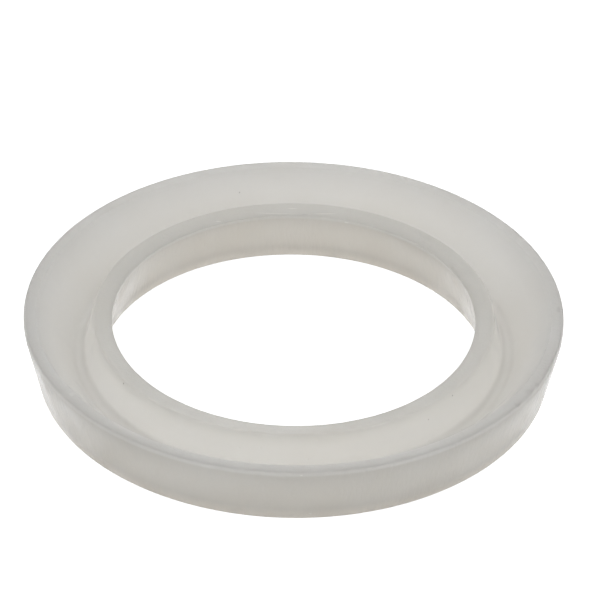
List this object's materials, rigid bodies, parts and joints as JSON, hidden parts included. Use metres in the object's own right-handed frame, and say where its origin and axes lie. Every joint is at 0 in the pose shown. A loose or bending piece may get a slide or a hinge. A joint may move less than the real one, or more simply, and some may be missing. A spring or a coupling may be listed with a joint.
{
  "type": "wiper ring",
  "caption": "Round one-piece lip seal ring with a flared outer lip, an inner lip leaning into the bore and a rounded groove between them.",
  "frame": {"origin": "centre of the heel's flat foot, on the ring's axis", "axes": "+Z along the ring's axis, from the heel's foot towards the lips"},
  "size_m": [0.0536, 0.0536, 0.0065],
  "materials": {
    "seal_elastomer": "milky translucent moulded elastomer, satin"
  },
  "bodies": {
    "root": {"wiper_ring": "seal_elastomer"}
  },
  "joints": []
}
